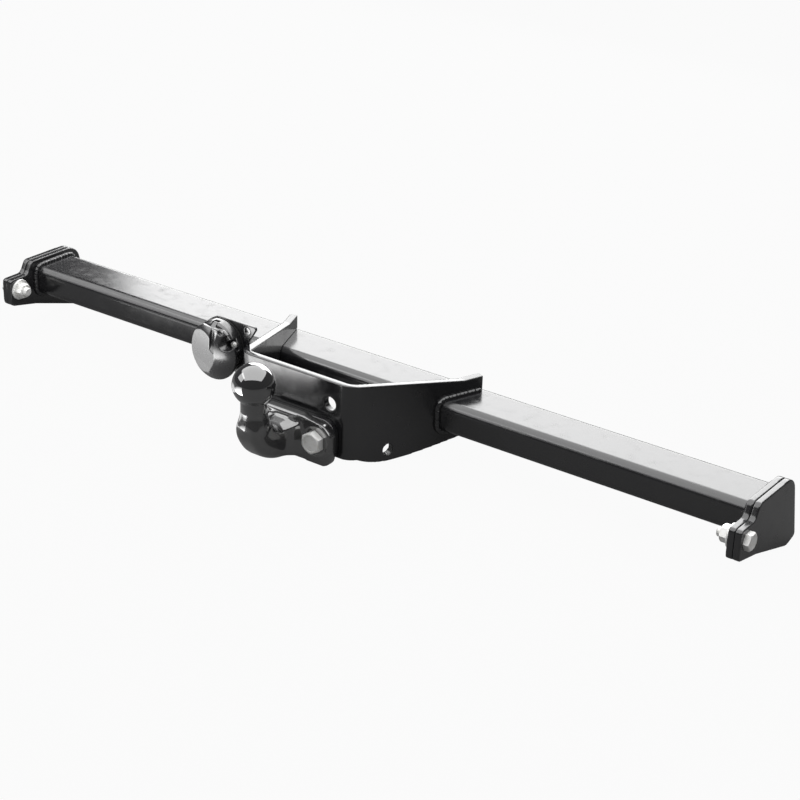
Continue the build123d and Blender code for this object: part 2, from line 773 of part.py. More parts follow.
with BuildPart() as cable_boot:
    with BuildSketch(Plane.XY.offset(socket_z)):
        with BuildLine():
            Polyline(
                (socket_x + tube_radius, boot_front),
                (socket_x + tube_radius + boot_wall, boot_front),
                (socket_x + tube_radius + boot_wall, boot_step),
                (socket_x + boot_waist_radius, boot_step),
                (socket_x + boot_waist_radius, boot_waist),
                (socket_x + boot_neck, boot_waist),
                (socket_x + boot_neck, boot_back),
                (socket_x + boot_bore, boot_back),
                (socket_x + boot_bore, boot_waist - boot_wall),
                (socket_x + boot_waist_radius - boot_wall, boot_waist - boot_wall),
                (socket_x + boot_waist_radius - boot_wall, tube_back),
                (socket_x + tube_radius, tube_back),
                close=True,
            )
        make_face()
    revolve(axis=Axis((socket_x, 0, socket_z), (0, 1, 0)))
cable_boot.part.label = "cable_boot"
export_step(cable_boot.part, "parts/cable_boot.step")
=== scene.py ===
import bmesh
import bpy
import json
from math import ceil, cos, hypot, pi, radians, sin
from mathutils import Matrix, Vector


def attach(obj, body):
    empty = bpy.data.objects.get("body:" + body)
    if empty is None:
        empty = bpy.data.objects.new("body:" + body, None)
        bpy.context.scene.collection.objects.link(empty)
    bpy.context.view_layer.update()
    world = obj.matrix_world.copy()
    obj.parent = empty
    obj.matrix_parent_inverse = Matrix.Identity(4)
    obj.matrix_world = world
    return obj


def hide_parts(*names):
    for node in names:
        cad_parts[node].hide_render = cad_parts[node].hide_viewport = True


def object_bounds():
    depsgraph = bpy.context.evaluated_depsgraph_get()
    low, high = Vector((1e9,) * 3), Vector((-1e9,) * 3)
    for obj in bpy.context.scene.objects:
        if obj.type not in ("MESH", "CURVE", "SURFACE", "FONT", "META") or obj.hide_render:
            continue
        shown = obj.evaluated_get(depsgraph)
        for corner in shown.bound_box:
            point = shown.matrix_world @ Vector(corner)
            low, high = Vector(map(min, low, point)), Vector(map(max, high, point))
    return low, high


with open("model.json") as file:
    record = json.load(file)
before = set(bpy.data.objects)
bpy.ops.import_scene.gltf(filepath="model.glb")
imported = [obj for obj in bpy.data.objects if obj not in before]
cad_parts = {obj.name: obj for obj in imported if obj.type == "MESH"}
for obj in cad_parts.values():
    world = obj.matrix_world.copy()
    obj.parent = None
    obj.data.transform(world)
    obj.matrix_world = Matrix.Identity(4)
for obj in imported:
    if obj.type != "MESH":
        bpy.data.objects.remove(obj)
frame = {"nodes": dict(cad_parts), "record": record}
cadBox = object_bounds()
nodes = frame["nodes"]
mm = 0.001


# One output of a shader node, so that arithmetic on it adds Math nodes
class Wire:
    def __init__(self, finish, socket):
        self.finish = finish
        self.socket = socket

    def __add__(self, other):
        return self.finish.maths("ADD", self, other)

    def __radd__(self, other):
        return self.finish.maths("ADD", other, self)

    def __sub__(self, other):
        return self.finish.maths("SUBTRACT", self, other)

    def __rsub__(self, other):
        return self.finish.maths("SUBTRACT", other, self)

    def __mul__(self, other):
        return self.finish.maths("MULTIPLY", self, other)

    def __rmul__(self, other):
        return self.finish.maths("MULTIPLY", other, self)


# A material under construction
class Finish:
    def __init__(self, name):
        self.material = bpy.data.materials.new(name)
        self.material.use_nodes = True
        self.tree = self.material.node_tree
        self.tree.nodes.clear()

    # Any node: its settings first, then the values or wires of its sockets
    def node(self, kind, settings=None, inputs=None, output=0):
        made = self.tree.nodes.new("ShaderNode" + kind)
        for key, value in (settings or {}).items():
            setattr(made, key, value)
        for key, value in (inputs or {}).items():
            if isinstance(value, Wire):
                self.tree.links.new(value.socket, made.inputs[key])
            else:
                made.inputs[key].default_value = value
        if len(made.outputs) == 0:
            return None
        return Wire(self, made.outputs[output])

    def maths(self, operation, first, second):
        return self.node("Math", {"operation": operation}, {0: first, 1: second})

    # Object coordinates, in metres
    def place(self):
        return self.node("TexCoord", output="Object")

    def noise(self, size, detail=3.0):
        values = {"Vector": self.place(), "Scale": 1 / size, "Detail": detail, "Roughness": 0.5}
        return self.node("TexNoise", inputs=values)

    # Fine lines along one direction: the same noise, drawn out by a stretched place
    def brushed(self, size, stretch):
        drawn = self.node("VectorMath", {"operation": "MULTIPLY"}, {0: self.place(), 1: stretch})
        return self.node("TexNoise", inputs={"Vector": drawn, "Scale": 1 / size, "Detail": 2.0})

    # From 0 to 1 where a wire passes a level, over a soft step
    def past(self, wire, level, soft):
        values = {"From Min": level - soft, "From Max": level + soft, "To Min": 0.0, "To Max": 1.0}
        return self.node("MapRange", {"clamp": True}, {"Value": wire, **values})

    def patches(self, size, level, soft, detail=3.0):
        return self.past(self.noise(size, detail), level, soft)

    def bump(self, height, depth, under=None):
        values = {"Height": height, "Distance": depth, "Strength": 1.0}
        if under is not None:
            values["Normal"] = under
        return self.node("Bump", inputs=values)

    def blend(self, factor, first, second):
        return self.node("Mix", {"data_type": "RGBA"}, {0: factor, 6: first, 7: second}, output=2)

    def surface(self, **values):
        sockets = {key.replace("_", " "): value for key, value in values.items()}
        shader = self.node("BsdfPrincipled", inputs=sockets)
        self.node("OutputMaterial", inputs={"Surface": shader})
        return self.material


# Powder coat on the steelwork: glossy black with a fine orange peel, dust and a few dull rubbed patches
powder = {
    "colours": ((0.007, 0.007, 0.008, 1), (0.015, 0.015, 0.016, 1)),
    "cloud": {"size": 45 * mm},
    "rubbed": {"size": 14 * mm, "level": 0.62, "soft": 0.12, "detail": 5.0},
    "grit": {"size": 0.9 * mm, "level": 0.74, "soft": 0.03, "detail": 1.0},
    "dust": {"cloud": 0.7, "grit": 0.3},
    "roughness": {"least": 0.15, "cloud": 0.05, "rubbed": 0.12},
    "specular": 0.95,
    "peel": {"size": 1.8 * mm, "detail": 1.0},
    "gritHeight": 0.5,
    "peelDepth": 0.004 * mm,
    "wave": {"size": 9 * mm, "detail": 0.0},
    "waveDepth": 0.015 * mm,
}


def makePowderCoat():
    coat = Finish("powderCoat")
    cloud = coat.noise(**powder["cloud"])
    rubbed = coat.patches(**powder["rubbed"])
    grit = coat.patches(**powder["grit"])
    dust = powder["dust"]
    rough = powder["roughness"]
    peel = coat.noise(**powder["peel"]) + grit * powder["gritHeight"]
    wave = coat.bump(coat.noise(**powder["wave"]), powder["waveDepth"])
    return coat.surface(
        Base_Color=coat.blend(cloud * dust["cloud"] + grit * dust["grit"], *powder["colours"]),
        Roughness=rough["least"] + cloud * rough["cloud"] + rubbed * rough["rubbed"],
        Specular_IOR_Level=powder["specular"],
        Normal=coat.bump(peel, powder["peelDepth"], wave),
    )


# The same coat over weld beads, thicker and softer in its gloss
weldCoat = {
    "grain": {"size": 1.1 * mm},
    "spatter": {"size": 3.5 * mm, "level": 0.66, "soft": 0.05, "detail": 2.0},
    "roughness": {"least": 0.16, "grain": 0.12},
    "spatterHeight": 0.6,
    "depth": 0.05 * mm,
}


def makeWeldCoat():
    coat = Finish("weldCoat")
    grain = coat.noise(**weldCoat["grain"])
    spatter = coat.patches(**weldCoat["spatter"])
    rough = weldCoat["roughness"]
    return coat.surface(
        Base_Color=coat.blend(spatter, *powder["colours"]),
        Roughness=rough["least"] + grain * rough["grain"],
        Specular_IOR_Level=powder["specular"],
        Normal=coat.bump(grain + spatter * weldCoat["spatterHeight"], weldCoat["depth"]),
    )


# Tow ball: mirror-like over the turned ball, with the forging's skin showing on the arm and flange
forgingSkin = {
    "colours": ((0.008, 0.008, 0.009, 1), (0.018, 0.018, 0.018, 1)),
    "fromMiddle": {"level": 33 * mm, "soft": 5 * mm},
    "skin": {"size": 2.4 * mm, "detail": 2.0},
    "pits": {"size": 1.3 * mm, "level": 0.70, "soft": 0.04, "detail": 1.0},
    "lathe": {"size": 0.5 * mm, "stretch": (0.02, 0.02, 1.0)},
    "roughness": {"least": 0.05, "lathe": 0.02, "forged": 0.13, "skin": 0.1},
    "specular": 0.9,
    "varnish": {"weight": 1.0, "roughness": 0.04, "index": 2.0},
    "pitDepth": 0.4,
    "skinDepth": 0.05 * mm,
}


def makeBallCoat():
    coat = Finish("ballCoat")
    reach = coat.node("VectorMath", {"operation": "LENGTH"}, {0: coat.place()}, output="Value")
    forged = coat.past(reach, **forgingSkin["fromMiddle"])
    skin = coat.noise(**forgingSkin["skin"])
    pits = coat.patches(**forgingSkin["pits"])
    lathe = coat.brushed(**forgingSkin["lathe"])
    rough = forgingSkin["roughness"]
    varnish = forgingSkin["varnish"]
    dull = forged * (rough["forged"] + skin * rough["skin"])
    return coat.surface(
        Base_Color=coat.blend(forged * skin, *forgingSkin["colours"]),
        Roughness=rough["least"] + lathe * rough["lathe"] + dull,
        Specular_IOR_Level=forgingSkin["specular"],
        Coat_Weight=varnish["weight"],
        Coat_Roughness=varnish["roughness"],
        Coat_IOR=varnish["index"],
        Normal=coat.bump(forged * (skin - pits * forgingSkin["pitDepth"]), forgingSkin["skinDepth"]),
    )


# Bright zinc plating on the fasteners, cloudy where it has been handled
zincPlating = {
    "bright": ((0.93, 0.93, 0.92, 1), (0.84, 0.84, 0.82, 1)),
    "stained": (0.70, 0.68, 0.62, 1),
    "stainShare": 0.35,
    "cloud": {"size": 2.5 * mm, "detail": 4.0},
    "stain": {"size": 5 * mm, "level": 0.6, "soft": 0.08},
    "scratch": {"size": 0.4 * mm, "stretch": (1.0, 0.15, 0.3)},
    "metallic": 0.5,
    "roughness": {"least": 0.36, "cloud": 0.12, "stain": 0.06},
    "scratchDepth": 0.008 * mm,
}


def makeZinc():
    zinc = Finish("zincPlating")
    cloud = zinc.noise(**zincPlating["cloud"])
    stain = zinc.patches(**zincPlating["stain"])
    scratch = zinc.brushed(**zincPlating["scratch"])
    bright = zinc.blend(cloud, *zincPlating["bright"])
    rough = zincPlating["roughness"]
    return zinc.surface(
        Base_Color=zinc.blend(stain * zincPlating["stainShare"], bright, zincPlating["stained"]),
        Metallic=zincPlating["metallic"],
        Roughness=rough["least"] + cloud * rough["cloud"] + stain * rough["stain"],
        Normal=zinc.bump(scratch, zincPlating["scratchDepth"]),
    )


# Moulded plastic of the socket, with the fine spark texture of its mould
socketPlastic = {
    "colours": ((0.012, 0.012, 0.013, 1), (0.024, 0.024, 0.025, 1)),
    "grain": {"size": 0.45 * mm, "detail": 2.0},
    "cloud": {"size": 12 * mm},
    "scuffLines": {"size": 2.0 * mm, "stretch": (0.3, 1.0, 1.0)},
    "scuff": {"level": 0.68, "soft": 0.04},
    "roughness": {"least": 0.23, "cloud": 0.1, "scuff": 0.1},
    "specular": 0.9,
    "gloss": {"weight": 0.8, "roughness": 0.16, "index": 1.6},
    "grainDepth": 0.006 * mm,
}


def makeSocketPlastic():
    plastic = Finish("socketPlastic")
    grain = plastic.noise(**socketPlastic["grain"])
    cloud = plastic.noise(**socketPlastic["cloud"])
    scuff = plastic.past(plastic.brushed(**socketPlastic["scuffLines"]), **socketPlastic["scuff"])
    rough = socketPlastic["roughness"]
    gloss = socketPlastic["gloss"]
    return plastic.surface(
        Base_Color=plastic.blend(scuff, *socketPlastic["colours"]),
        Roughness=rough["least"] + cloud * rough["cloud"] + scuff * rough["scuff"],
        Specular_IOR_Level=socketPlastic["specular"],
        Coat_Weight=gloss["weight"],
        Coat_Roughness=gloss["roughness"],
        Coat_IOR=gloss["index"],
        Normal=plastic.bump(grain, socketPlastic["grainDepth"]),
    )


# Duller plastic of the insert that holds the contacts
insertPlastic = {
    "colours": ((0.020, 0.020, 0.021, 1), (0.034, 0.034, 0.035, 1)),
    "grain": {"size": 0.6 * mm},
    "roughness": {"least": 0.45, "grain": 0.2},
    "grainDepth": 0.02 * mm,
}


def makeInsertPlastic():
    plastic = Finish("insertPlastic")
    grain = plastic.noise(**insertPlastic["grain"])
    rough = insertPlastic["roughness"]
    return plastic.surface(
        Base_Color=plastic.blend(grain, *insertPlastic["colours"]),
        Roughness=rough["least"] + grain * rough["grain"],
        Normal=plastic.bump(grain, insertPlastic["grainDepth"]),
    )


# Brass of the contact sleeves
contactBrass = {
    "colours": ((0.80, 0.58, 0.28, 1), (0.62, 0.43, 0.19, 1)),
    "cloud": {"size": 1.5 * mm},
    "roughness": {"least": 0.2, "cloud": 0.2},
    "cloudDepth": 0.006 * mm,
}


def makeBrass():
    brass = Finish("contactBrass")
    cloud = brass.noise(**contactBrass["cloud"])
    rough = contactBrass["roughness"]
    return brass.surface(
        Base_Color=brass.blend(cloud, *contactBrass["colours"]),
        Metallic=1.0,
        Roughness=rough["least"] + cloud * rough["cloud"],
        Normal=brass.bump(cloud, contactBrass["cloudDepth"]),
    )


# Rubber, with a pale bloom in places
sealRubber = {
    "colours": ((0.011, 0.011, 0.011, 1), (0.028, 0.028, 0.027, 1)),
    "grain": {"size": 0.8 * mm, "detail": 4.0},
    "bloom": {"size": 6 * mm, "level": 0.58, "soft": 0.1},
    "pale": {"bloom": 0.6, "grain": 0.4},
    "roughness": {"least": 0.52, "grain": 0.2},
    "specular": 0.4,
    "grainDepth": 0.03 * mm,
}


def makeRubber():
    rubber = Finish("sealRubber")
    grain = rubber.noise(**sealRubber["grain"])
    bloom = rubber.patches(**sealRubber["bloom"])
    pale = sealRubber["pale"]
    rough = sealRubber["roughness"]
    return rubber.surface(
        Base_Color=rubber.blend(bloom * pale["bloom"] + grain * pale["grain"], *sealRubber["colours"]),
        Roughness=rough["least"] + grain * rough["grain"],
        Specular_IOR_Level=sealRubber["specular"],
        Normal=rubber.bump(grain, sealRubber["grainDepth"]),
    )


finishes = {
    "powder_coat": makePowderCoat(),
    "weld_coat": makeWeldCoat(),
    "ball_coat": makeBallCoat(),
    "zinc": makeZinc(),
    "socket_plastic": makeSocketPlastic(),
    "insert_plastic": makeInsertPlastic(),
    "contact_brass": makeBrass(),
    "seal_rubber": makeRubber(),
}
slotOfNode = {part["node"]: part["material_slot"] for part in frame["record"]["subparts"]}
bodies = frame["record"]["behaviour"]["bodies"]
bodyOfNode = {node: body for body, members in bodies.items() for node in members}
for name, node in nodes.items():
    node.data.materials.clear()
    node.data.materials.append(finishes[slotOfNode[name]])
print("materials made:", len(finishes))

# Edges above these angles, in degrees, stay sharp in the shading of a piece made in that way
sharpFrom = {"cadForm": 35, "remeshed": 60, "forged": 50, "fixing": 25}


# A finished piece: it stands for a CAD node, rides on its body and takes its finish
def addPiece(name, shape, node, sharpAngle):
    mesh = bpy.data.meshes.new(name)
    shape.to_mesh(mesh)
    shape.free()
    for face in mesh.polygons:
        face.use_smooth = True
    mesh.set_sharp_from_angle(angle=radians(sharpAngle))
    mesh.materials.append(finishes[slotOfNode[node]])
    piece = bpy.data.objects.new(name, mesh)
    bpy.context.scene.collection.objects.link(piece)
    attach(piece, bodyOfNode[node])
    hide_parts(node)
    return piece


# The CAD node's own form, its doubled points merged
def formOf(node):
    shape = bmesh.new()
    shape.from_mesh(nodes[node].data)
    bmesh.ops.remove_doubles(shape, verts=shape.verts, dist=0.001 * mm)
    return shape


def joined(shapes):
    whole = bmesh.new()
    for shape in shapes:
        mesh = bpy.data.meshes.new("joining")
        shape.to_mesh(mesh)
        shape.free()
        whole.from_mesh(mesh)
        bpy.data.meshes.remove(mesh)
    return whole


# A profile of radius and height, in millimetres, turned about Z. Ends on the axis close by themselves
def turned(profile, steps):
    shape = bmesh.new()
    points = [shape.verts.new((radius * mm, 0, height * mm)) for radius, height in profile]
    runs = [shape.edges.new(pair) for pair in zip(points, points[1:])]
    bmesh.ops.spin(
        shape, geom=points + runs, cent=(0, 0, 0), axis=(0, 0, 1), angle=2 * pi, steps=steps,
        use_merge=True,
    )
    bmesh.ops.remove_doubles(shape, verts=shape.verts, dist=0.0005 * mm)
    bmesh.ops.recalc_face_normals(shape, faces=shape.faces)
    return shape


# Keeps what lies on the near side of a plane and closes the cut
def trim(shape, point, outward):
    whole = shape.verts[:] + shape.edges[:] + shape.faces[:]
    cut = bmesh.ops.bisect_plane(
        shape, geom=whole, dist=0.0001 * mm, plane_co=point, plane_no=outward, clear_outer=True
    )
    rim = [item for item in cut["geom_cut"] if isinstance(item, bmesh.types.BMEdge)]
    bmesh.ops.edgeloop_fill(shape, edges=rim)


# A fixing is made at the origin, facing +Z, and then put in its place
def placed(shape, middle, outward):
    turn = Vector(outward).to_track_quat("Z", "Y").to_matrix().to_4x4()
    there = Matrix.Translation(Vector(middle) * mm) @ turn
    bmesh.ops.transform(shape, matrix=there, verts=shape.verts)
    return shape


def smoothed(shape, points, rounds):
    for again in range(rounds):
        bmesh.ops.smooth_vert(
            shape, verts=points, factor=0.5, use_axis_x=True, use_axis_y=True, use_axis_z=True
        )


# Sheared, moulded and forged edges are never sharp under their coat: a voxel remesh, then smoothing
def melted(shape, voxel, rounds):
    mesh = bpy.data.meshes.new("melting")
    shape.to_mesh(mesh)
    shape.free()
    lump = bpy.data.objects.new("melting", mesh)
    bpy.context.scene.collection.objects.link(lump)
    skin = lump.modifiers.new("skin", "REMESH")
    skin.mode = "VOXEL"
    skin.voxel_size = voxel * mm
    drawn = lump.evaluated_get(bpy.context.evaluated_depsgraph_get())
    melt = bmesh.new()
    melt.from_mesh(drawn.to_mesh())
    drawn.to_mesh_clear()
    bpy.data.objects.remove(lump)
    bpy.data.meshes.remove(mesh)
    smoothed(melt, melt.verts, rounds)
    return melt


# Plates and mouldings: the voxel in millimetres, and how often the skin is smoothed
rounded = {
    "left_end_plate": {"voxel": 0.9, "rounds": 4},
    "right_end_plate": {"voxel": 0.9, "rounds": 4},
    "left_chassis_bracket": {"voxel": 0.9, "rounds": 4},
    "right_chassis_bracket": {"voxel": 0.9, "rounds": 4},
    "centre_bracket": {"voxel": 1.1, "rounds": 1},
    "spacer_plate": {"voxel": 0.9, "rounds": 3},
    "socket_plate": {"voxel": 0.6, "rounds": 3},
    "socket_lid": {"voxel": 0.42, "rounds": 5},
    "socket_housing": {"voxel": 0.5, "rounds": 3},
    "cable_boot": {"voxel": 0.5, "rounds": 6},
}

# The lid's flat facet, a little larger than the CAD's
lidFacet = {
    "middle": (-131.1, 126.5, -24.5),  # of the dome
    "dome": 58.5,
    "cut": 5.8,
    "turn": 15.0,  # degrees to the left
    "dip": -1.0,  # below 0 it looks upward
}


def cutFacet(shape):
    turn = radians(lidFacet["turn"])
    dip = radians(lidFacet["dip"])
    outward = Vector((-sin(turn) * cos(dip), -cos(turn) * cos(dip), -sin(dip)))
    facet = Vector(lidFacet["middle"]) + outward * (lidFacet["dome"] - lidFacet["cut"])
    trim(shape, facet * mm, outward)


def roundPieces():
    addPiece("cross_beam_smooth", formOf("cross_beam"), "cross_beam", sharpFrom["cadForm"])
    for name, making in rounded.items():
        shape = formOf(name)
        if name == "socket_lid":
            cutFacet(shape)
        addPiece(name + "_rounded", melted(shape, **making), name, sharpFrom["remeshed"])


# Forging: the ball is turned on its neck, the rest keeps the die's generous blends. Millimetres from
# the ball's middle, with each profile as radius and height
towBall = {
    "ball": 25.0,
    "ballStep": 3,  # degrees
    "ballMargin": 0.5,
    "neck": 15.4,
    "neckTop": ((0.25, -0.6), (0, -1.6)),  # from where the neck meets the ball
    "neckEnd": -34.0,
    "neckEdge": 0.5,
    "collar": (
        (15.4, -30.0), (15.4, -33.0), (15.9, -37.0), (17.0, -41.0),
        (18.4, -45.5), (19.2, -50.0), (18.8, -56.0),
    ),
    "bodyTop": -31.0,
    "voxel": 1.0,
    "skinRounds": 6,
    "blendRounds": 26,
    "blendHalf": 33.0,  # this far to either side
    "blendTop": -38.0,
    "blendBack": 60.0,
    "steps": {"ball": 96, "collar": 64},
}


def turnBall():
    radius = towBall["ball"]
    neck = towBall["neck"]
    low = -(radius ** 2 - neck ** 2) ** 0.5
    least = low + towBall["ballMargin"]
    end = towBall["neckEnd"]
    edge = towBall["neckEdge"]
    swing = [radians(angle) for angle in range(90, -90, -towBall["ballStep"])]
    crown = [(radius * cos(angle), radius * sin(angle)) for angle in swing if radius * sin(angle) > least]
    crown[0] = (0, radius)
    shank = [(neck + out, low + up) for out, up in towBall["neckTop"]]
    shank += [(neck, end), (neck - edge, end - edge), (0, end - edge)]
    return turned(crown + shank, towBall["steps"]["ball"])


def turnCollar():
    profile = list(towBall["collar"])
    top = (0, profile[0][1])
    bottom = (0, profile[-1][1])
    return turned([top] + profile + [bottom], towBall["steps"]["collar"])


# The long blends below the neck come from many more rounds of smoothing there
def blendRoot(skin):
    half = towBall["blendHalf"] * mm
    top = towBall["blendTop"] * mm
    back = towBall["blendBack"] * mm
    low = [point for point in skin.verts if point.co.z < top]
    root = [point for point in low if abs(point.co.x) < half and point.co.y < back]
    smoothed(skin, root, towBall["blendRounds"])


def forgeTowBall():
    ball = turnBall()
    collar = turnCollar()
    body = formOf("tow_ball")
    trim(body, Vector((0, 0, towBall["bodyTop"])) * mm, Vector((0, 0, 1)))
    skin = melted(joined([body, collar]), towBall["voxel"], towBall["skinRounds"])
    blendRoot(skin)
    addPiece("tow_ball_forged", joined([ball, skin]), "tow_ball", sharpFrom["forged"])


# Hexagon heads and nuts: turned with their chamfers, then cut to their flats. Sizes in millimetres
hexagons = {
    "endHead": {"flats": 19.0, "high": 7.5, "seat": 9.0, "bore": 0},
    "endNut": {"flats": 18.0, "high": 10.0, "seat": 8.6, "bore": 5.9},
    "ballHead": {"flats": 24.0, "high": 10.0, "seat": 11.4, "bore": 0},
    "ballNut": {"flats": 24.0, "high": 13.0, "seat": 11.4, "bore": 7.9},
    "socketNut": {"flats": 8.0, "high": 4.0, "seat": 3.8, "bore": 2.45},
}

hexagonForm = {
    "slope": 0.577,  # chamfers of 30 degrees
    "nutMouth": 0.06,  # part of the height, as the next
    "headLip": 0.04,
    "dishFrom": 0.86,  # parts of the seat's radius, for the shallow dish in a head
    "dishTo": 0.8,
    "steps": 72,
}


def hexagon(kind, turn=0.0):
    size = hexagons[kind]
    corner = size["flats"] / 2 / cos(pi / 6)
    seat = size["seat"]
    high = size["high"]
    bore = size["bore"]
    drop = (corner - seat) * hexagonForm["slope"]
    if bore:
        mouth = bore + high * hexagonForm["nutMouth"]
        profile = [(bore, mouth - bore), (mouth, 0), (seat, 0), (corner, drop), (corner, high - drop)]
        profile += [(seat, high), (mouth, high), (bore, high - mouth + bore), (bore, mouth - bore)]
    else:
        lip = hexagonForm["headLip"] * high
        outer = seat * hexagonForm["dishFrom"]
        inner = seat * hexagonForm["dishTo"]
        profile = [(0, 0), (seat, 0), (seat, lip), (corner, lip), (corner, high - drop)]
        profile += [(seat, high), (outer, high), (inner, high - lip), (0, high - lip)]
    shape = turned(profile, hexagonForm["steps"])
    for side in range(6):
        angle = turn + side * pi / 3
        outward = Vector((cos(angle), sin(angle), 0))
        trim(shape, outward * (size["flats"] / 2 * mm), outward)
    return shape


# Bolts and screws, in millimetres, with the steps of one turn of their thread
bolts = {
    "end": {"radius": 6.0, "pitch": 1.75, "length": 33.5, "threadLength": 16.0, "steps": 32},
    "ball": {"radius": 8.0, "pitch": 2.0, "length": 49.0, "threadLength": 24.0, "steps": 32},
    "socket": {"radius": 2.5, "pitch": 0.8, "length": 18.0, "threadLength": 9.0, "steps": 20},
}

# A thread's section, in pitches, and how it ends
threadForm = {
    "depth": 0.55,
    "crest": (0.42, 0.54),
    "rootFrom": 0.96,
    "spare": 1.5,  # pitches below the bolt's end, trimmed away with the spare turns
    "spareTurns": 3,
    "endChamfer": 1.2,  # thread depths
    "gap": 0.3,  # millimetres between the shank and the thread, out of sight inside the joint
    "shankSteps": 48,
}


def thread(radius, pitch, length, threadLength, steps):
    depth = pitch * threadForm["depth"]
    rise, fall = threadForm["crest"]
    profile = [(radius - depth, 0), (radius, rise * pitch), (radius, fall * pitch)]
    profile += [(radius - depth, threadForm["rootFrom"] * pitch), (radius - depth, pitch)]
    start = -length - threadForm["spare"] * pitch
    turns = ceil(threadLength / pitch) + threadForm["spareTurns"]
    shape = bmesh.new()
    points = [shape.verts.new((out * mm, 0, (start + up) * mm)) for out, up in profile]
    runs = [shape.edges.new(pair) for pair in zip(points, points[1:])]
    bmesh.ops.spin(
        shape, geom=points + runs, cent=(0, 0, 0), axis=(0, 0, 1), dvec=(0, 0, pitch * mm / steps),
        angle=2 * pi * turns, steps=steps * turns,
    )
    bmesh.ops.remove_doubles(shape, verts=shape.verts, dist=0.002 * mm)
    trim(shape, Vector((0, 0, -length)) * mm, Vector((0, 0, -1)))
    trim(shape, Vector((0, 0, threadLength - length)) * mm, Vector((0, 0, 1)))
    bmesh.ops.recalc_face_normals(shape, faces=shape.faces)
    for point in shape.verts:
        over = threadForm["endChamfer"] * depth * mm - (point.co.z + length * mm)
        out = hypot(point.co.x, point.co.y)
        most = radius * mm - max(over, 0)
        if out > most:
            point.co.x *= most / out
            point.co.y *= most / out
    return shape


# From its head's seat at the origin down to -Z, threaded over its far end
def bolt(kind):
    size = bolts[kind]
    radius = size["radius"]
    end = size["threadLength"] - size["length"] + threadForm["gap"]
    shank = turned([(0, 0), (radius, 0), (radius, end), (0, end)], threadForm["shankSteps"])
    return joined([thread(**size), shank])


washers = {
    "end": {"radius": 14.0, "bore": 6.5, "thick": 2.5},
    "ball": {"radius": 15.0, "bore": 8.6, "thick": 3.0},
}
washerForm = {"edge": 0.18, "steps": 72}


def washer(radius, bore, thick):
    edge = washerForm["edge"] * thick
    loop = [(bore, edge), (bore + edge, 0), (radius - edge, 0), (radius, edge), (radius, thick - edge)]
    loop += [(radius - edge, thick), (bore + edge, thick), (bore, thick - edge), (bore, edge)]
    return turned(loop, washerForm["steps"])


# Small round-headed screw with a recess for its driver, its profile as radius and height
screwHead = {
    "recess": ((0, 1.7), (1.35, 1.7), (1.45, 3.05)),
    "dome": ((1.8, 3.2), (2.9, 2.95), (3.8, 2.2), (4.2, 1.2)),
    "under": ((4.2, 0.2), (4.0, 0), (0, 0)),
    "steps": 36,
}


def socketScrew():
    head = turned(screwHead["recess"] + screwHead["dome"] + screwHead["under"], screwHead["steps"])
    return joined([head, bolt("socket")])


# Where the fixings sit, in millimetres, and how the screws are spread on their circle, in degrees
fixings = {
    "endFaces": {-1: (-560.0, 154.5, -74.7), 1: (544.0, 154.5, -74.7)},
    "endTurn": 30.0,
    "endGrip": 16.0,
    "ballBolts": (-45.0, 45.0),
    "ballSeat": 55.0,
    "ballHeight": -78.5,
    "bracketBack": 83.0,
    "socket": (-132.3, -20.0),
    "screwCircle": 26.0,
    "screwTurns": (17.0, 137.0, 257.0),
    "screwSeat": 92.0,
    "plateBack": 104.0,
}


def makeEndFixings():
    turn = radians(fixings["endTurn"])
    made = {"end_bolts": [], "end_washers": [], "end_nuts": []}
    for side, (x, y, z) in fixings["endFaces"].items():
        seat = x - side * fixings["endGrip"]
        nutSeat = seat - side * washers["end"]["thick"]
        made["end_bolts"].append(placed(hexagon("endHead", turn), (x, y, z), (side, 0, 0)))
        made["end_bolts"].append(placed(bolt("end"), (x, y, z), (side, 0, 0)))
        made["end_washers"].append(placed(washer(**washers["end"]), (seat, y, z), (-side, 0, 0)))
        made["end_nuts"].append(placed(hexagon("endNut", turn), (nutSeat, y, z), (-side, 0, 0)))
    return made


def makeBallFixings():
    made = {"ball_bolts": [], "ball_washers": [], "ball_nuts": []}
    z = fixings["ballHeight"]
    seat = fixings["ballSeat"]
    back = fixings["bracketBack"]
    nutSeat = back + washers["ball"]["thick"]
    for x in fixings["ballBolts"]:
        made["ball_bolts"].append(placed(hexagon("ballHead"), (x, seat, z), (0, -1, 0)))
        made["ball_bolts"].append(placed(bolt("ball"), (x, seat, z), (0, -1, 0)))
        made["ball_washers"].append(placed(washer(**washers["ball"]), (x, back, z), (0, 1, 0)))
        made["ball_nuts"].append(placed(hexagon("ballNut"), (x, nutSeat, z), (0, 1, 0)))
    return made


def makeSocketFixings():
    made = {"socket_screws": [], "socket_nuts": []}
    seat = fixings["screwSeat"]
    back = fixings["plateBack"]
    for turn in fixings["screwTurns"]:
        x = fixings["socket"][0] + fixings["screwCircle"] * cos(radians(turn))
        z = fixings["socket"][1] + fixings["screwCircle"] * sin(radians(turn))
        made["socket_screws"].append(placed(socketScrew(), (x, seat, z), (0, -1, 0)))
        made["socket_nuts"].append(placed(hexagon("socketNut", radians(turn)), (x, back, z), (0, 1, 0)))
    return made


# A fine round on the corners of these pieces
fineEdge = {
    "pieces": ("end_nuts", "ball_bolts", "ball_nuts", "socket_nuts"),
    "width": 0.18,
    "segments": 2,
    "fromAngle": 40,
}


def addRounding(piece):
    rounding = piece.modifiers.new("rounding", "BEVEL")
    rounding.width = fineEdge["width"] * mm
    rounding.segments = fineEdge["segments"]
    rounding.limit_method = "ANGLE"
    rounding.angle_limit = radians(fineEdge["fromAngle"])
    rounding.harden_normals = True


